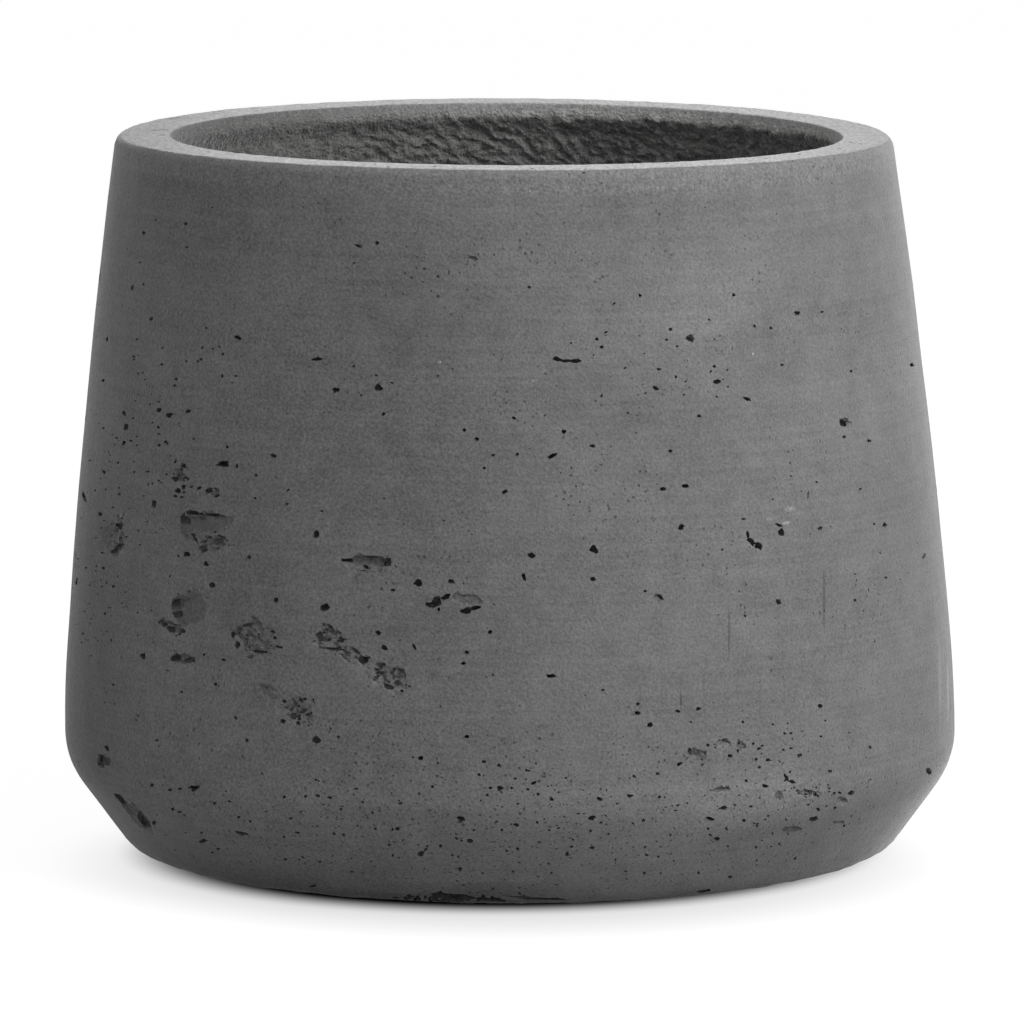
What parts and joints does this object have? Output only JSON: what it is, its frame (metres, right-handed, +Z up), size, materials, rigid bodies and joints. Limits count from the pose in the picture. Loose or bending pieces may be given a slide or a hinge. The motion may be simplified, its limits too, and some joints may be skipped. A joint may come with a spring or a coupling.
{
  "type": "flower pot",
  "caption": "Round floor planter of dark pitted fibre cement with a low belly, undercut foot, thick flat rim, rough lining, pull-out drain plug and rubber foot pads.",
  "frame": {"origin": "on the ground under the centre of the pot, at the underside of the foot pads", "axes": "+Z up along the pot's axis; X and Y lie between the foot pads, with -Y the side that the picture shows"},
  "size_m": [0.28, 0.28, 0.2245],
  "materials": {
    "cast_cement": "matt cast fibre cement, dark grey, pitted, sanded paler at the rim",
    "laid_cement": "rough hand-laid fibre cement",
    "plug_rubber": "moulded matt rubber",
    "pad_rubber": "cut sheet rubber"
  },
  "bodies": {
    "pot": {"cast_shell": "cast_cement", "fibre_lining": "laid_cement", "foot_pad_1": "pad_rubber", "foot_pad_2": "pad_rubber", "foot_pad_3": "pad_rubber", "foot_pad_4": "pad_rubber"},
    "plug": {"drain_plug": "plug_rubber"}
  },
  "joints": [
    {"name": "plug_lift", "type": "slide", "parent": "pot", "child": "plug", "axis": [0, 0, 1], "range_m": [0, 0.235]}
  ]
}
